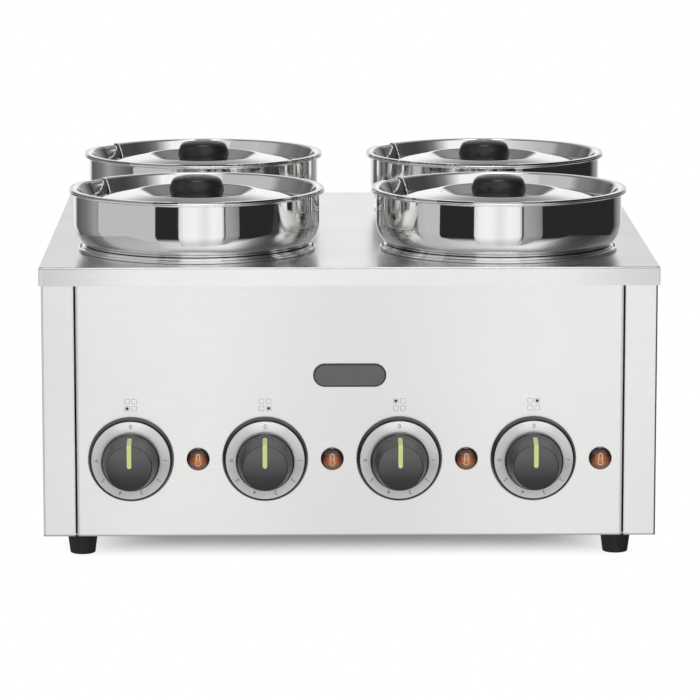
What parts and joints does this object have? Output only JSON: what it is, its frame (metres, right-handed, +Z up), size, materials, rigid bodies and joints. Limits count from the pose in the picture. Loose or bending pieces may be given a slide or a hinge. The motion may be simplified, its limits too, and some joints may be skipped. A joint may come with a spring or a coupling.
{
  "type": "countertop topping warmer",
  "caption": "Countertop dry-heat topping warmer: stainless cabinet, round lift-out pots in heated wells, notched lids, thermostat knobs and pilot lamps on the front panel.",
  "frame": {"origin": "on the surface that the feet stand on, in the middle of the overall width and depth", "axes": "+Z up, +Y from the control panel towards the back, +X to the right as seen from the front"},
  "size_m": [0.5, 0.5444, 0.301],
  "materials": {
    "cabinet_steel": "fine satin stainless steel",
    "pot_steel": "mirror-polished stainless steel",
    "heater_mica": "steel-sheathed mica band",
    "switch_plastic": "heat-resistant moulded plastic",
    "plated_steel": "zinc-plated steel",
    "knob_plastic": "black glossy moulded plastic",
    "pointer_plastic": "pale yellow-green inlay",
    "dial_aluminium": "satin anodised, numbers printed in grey",
    "lens_amber": "clear amber",
    "holder_plastic": "black moulded plastic",
    "badge_plastic": "charcoal, with a pale line round the edge",
    "lid_knob_plastic": "black satin moulded plastic",
    "foot_rubber": "black moulded rubber"
  },
  "bodies": {
    "housing": {"back_panel": "cabinet_steel", "badge_plate": "badge_plastic", "base_plate": "cabinet_steel", "cable_gland": "holder_plastic", "deck": "cabinet_steel", "dial_bezels": "knob_plastic", "dial_faces": "dial_aluminium", "foot_back_left": "foot_rubber", "foot_back_right": "foot_rubber", "foot_front_left": "foot_rubber", "foot_front_right": "foot_rubber", "foot_screws": "plated_steel", "front_panel": "cabinet_steel", "heater_band_back_left": "heater_mica", "heater_band_back_right": "heater_mica", "heater_band_front_left": "heater_mica", "heater_band_front_right": "heater_mica", "housing_screws": "plated_steel", "pilot_lamp_holders": "holder_plastic", "pilot_lamp_lenses": "lens_amber", "side_panel_left": "cabinet_steel", "side_panel_right": "cabinet_steel", "terminal_block": "switch_plastic", "thermostat_back_left": "switch_plastic", "thermostat_back_right": "switch_plastic", "thermostat_front_left": "switch_plastic", "thermostat_front_right": "switch_plastic", "thermostat_screws": "plated_steel", "well_back_left": "pot_steel", "well_back_right": "pot_steel", "well_front_left": "pot_steel", "well_front_right": "pot_steel"},
    "knob_front_left": {"knob_front_left": "knob_plastic", "knob_pointer_front_left": "pointer_plastic", "thermostat_spindle_front_left": "plated_steel"},
    "pot_front_left": {"pot_front_left": "pot_steel"},
    "lid_front_left": {"lid_front_left": "pot_steel", "lid_knob_front_left": "lid_knob_plastic", "lid_screw_front_left": "plated_steel"},
    "knob_front_right": {"knob_front_right": "knob_plastic", "knob_pointer_front_right": "pointer_plastic", "thermostat_spindle_front_right": "plated_steel"},
    "pot_front_right": {"pot_front_right": "pot_steel"},
    "lid_front_right": {"lid_front_right": "pot_steel", "lid_knob_front_right": "lid_knob_plastic", "lid_screw_front_right": "plated_steel"},
    "knob_back_left": {"knob_back_left": "knob_plastic", "knob_pointer_back_left": "pointer_plastic", "thermostat_spindle_back_left": "plated_steel"},
    "pot_back_left": {"pot_back_left": "pot_steel"},
    "lid_back_left": {"lid_back_left": "pot_steel", "lid_knob_back_left": "lid_knob_plastic", "lid_screw_back_left": "plated_steel"},
    "knob_back_right": {"knob_back_right": "knob_plastic", "knob_pointer_back_right": "pointer_plastic", "thermostat_spindle_back_right": "plated_steel"},
    "pot_back_right": {"pot_back_right": "pot_steel"},
    "lid_back_right": {"lid_back_right": "pot_steel", "lid_knob_back_right": "lid_knob_plastic", "lid_screw_back_right": "plated_steel"}
  },
  "joints": [
    {"name": "knob_turn_front_left", "type": "hinge", "parent": "housing", "child": "knob_front_left", "pos_m": [-0.1767, -0.22985, 0.0835], "axis": [0, 1, 0], "range_deg": [0, 270]},
    {"name": "knob_turn_front_right", "type": "hinge", "parent": "housing", "child": "knob_front_right", "pos_m": [-0.0683, -0.22985, 0.0835], "axis": [0, 1, 0], "range_deg": [0, 270]},
    {"name": "knob_turn_back_left", "type": "hinge", "parent": "housing", "child": "knob_back_left", "pos_m": [0.0401, -0.22985, 0.0835], "axis": [0, 1, 0], "range_deg": [0, 270]},
    {"name": "knob_turn_back_right", "type": "hinge", "parent": "housing", "child": "knob_back_right", "pos_m": [0.1485, -0.22985, 0.0835], "axis": [0, 1, 0], "range_deg": [0, 270]},
    {"name": "pot_lift_front_left", "type": "slide", "parent": "housing", "child": "pot_front_left", "axis": [0, 0, 1], "range_m": [0, 0.16]},
    {"name": "pot_lift_front_right", "type": "slide", "parent": "housing", "child": "pot_front_right", "axis": [0, 0, 1], "range_m": [0, 0.16]},
    {"name": "pot_lift_back_left", "type": "slide", "parent": "housing", "child": "pot_back_left", "axis": [0, 0, 1], "range_m": [0, 0.16]},
    {"name": "pot_lift_back_right", "type": "slide", "parent": "housing", "child": "pot_back_right", "axis": [0, 0, 1], "range_m": [0, 0.16]},
    {"name": "lid_lift_front_left", "type": "slide", "parent": "pot_front_left", "child": "lid_front_left", "axis": [0, 0, 1], "range_m": [0, 0.1]},
    {"name": "lid_lift_front_right", "type": "slide", "parent": "pot_front_right", "child": "lid_front_right", "axis": [0, 0, 1], "range_m": [0, 0.1]},
    {"name": "lid_lift_back_left", "type": "slide", "parent": "pot_back_left", "child": "lid_back_left", "axis": [0, 0, 1], "range_m": [0, 0.1]},
    {"name": "lid_lift_back_right", "type": "slide", "parent": "pot_back_right", "child": "lid_back_right", "axis": [0, 0, 1], "range_m": [0, 0.1]}
  ]
}
